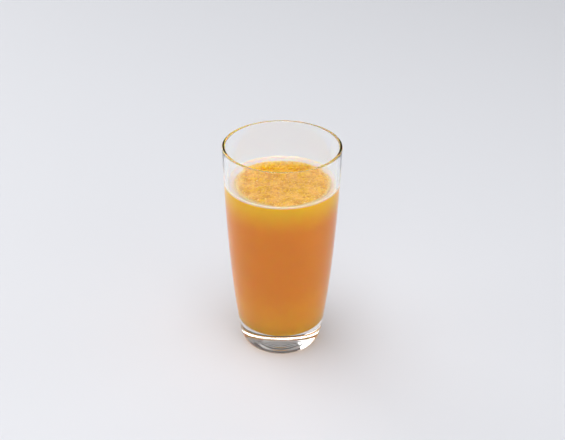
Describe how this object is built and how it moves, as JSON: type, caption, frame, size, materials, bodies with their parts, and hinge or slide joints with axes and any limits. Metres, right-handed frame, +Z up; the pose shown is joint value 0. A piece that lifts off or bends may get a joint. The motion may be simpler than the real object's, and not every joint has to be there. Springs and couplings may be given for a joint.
{
  "type": "glass of orange juice",
  "caption": "Tall clear tumbler with a thick rounded base, filled close to the rim with orange juice that carries a thin raft of pulpy froth.",
  "frame": {"origin": "centre of the tumbler's flat foot, where it stands on the table", "axes": "+Z up along the tumbler's axis; the turned shape has no front, and the picture looks along +Y"},
  "size_m": [0.0742, 0.0742, 0.14],
  "materials": {
    "clear_glass": "clear polished soda-lime glass",
    "orange_juice": "cloudy orange juice, wet surface",
    "juice_froth": "fine froth and orange pulp"
  },
  "bodies": {
    "root": {"glass": "clear_glass", "juice": "orange_juice", "froth": "juice_froth"}
  },
  "joints": []
}
